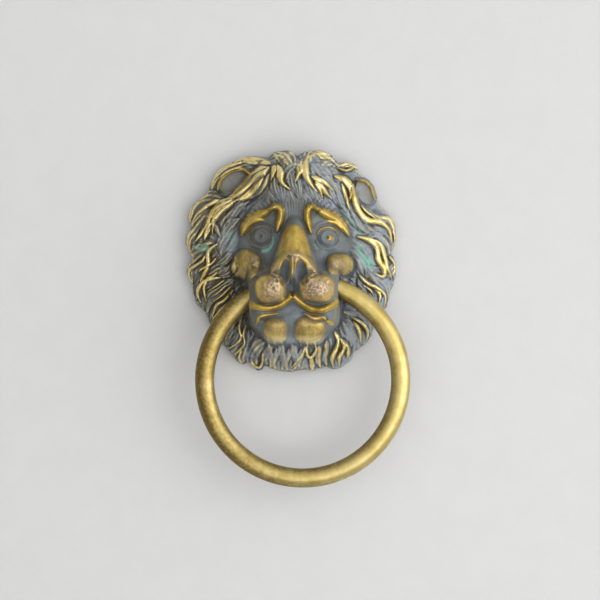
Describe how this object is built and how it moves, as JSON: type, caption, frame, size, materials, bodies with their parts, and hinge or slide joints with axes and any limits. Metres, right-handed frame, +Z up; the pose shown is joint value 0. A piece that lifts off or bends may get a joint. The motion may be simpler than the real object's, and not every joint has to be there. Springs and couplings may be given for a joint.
{
  "type": "door knocker",
  "caption": "Cast lion's-head door knocker in patinated brass, with a plain round bar ring swinging through the mouth and stud fixings through the door.",
  "frame": {"origin": "on the door's outer face, midway between the two fixing studs", "axes": "-Y out of the door, the way the lion looks; +Y through the door; +Z up; +X to the right seen from the front"},
  "size_m": [0.1169, 0.1117, 0.1763],
  "materials": {
    "patinated_brass": "cast brass with blue-grey patina in the hollows and rubbed gold on the high places",
    "ring_brass": "satin rubbed brass, browner on the underside",
    "fixing_brass": "plain turned brass"
  },
  "bodies": {
    "mask": {"lion_head": "patinated_brass", "upper_stud": "fixing_brass", "lower_stud": "fixing_brass", "upper_washer": "fixing_brass", "lower_washer": "fixing_brass", "upper_cap_nut": "fixing_brass", "lower_cap_nut": "fixing_brass"},
    "ring": {"ring_bar": "ring_brass", "ring_joint_dowel": "fixing_brass"}
  },
  "joints": [
    {"name": "ring_swing", "type": "hinge", "parent": "mask", "child": "ring", "pos_m": [0, -0.024, -0.018], "axis": [-0.9945, 0, -0.1045], "range_deg": [-11.3, 110]}
  ]
}
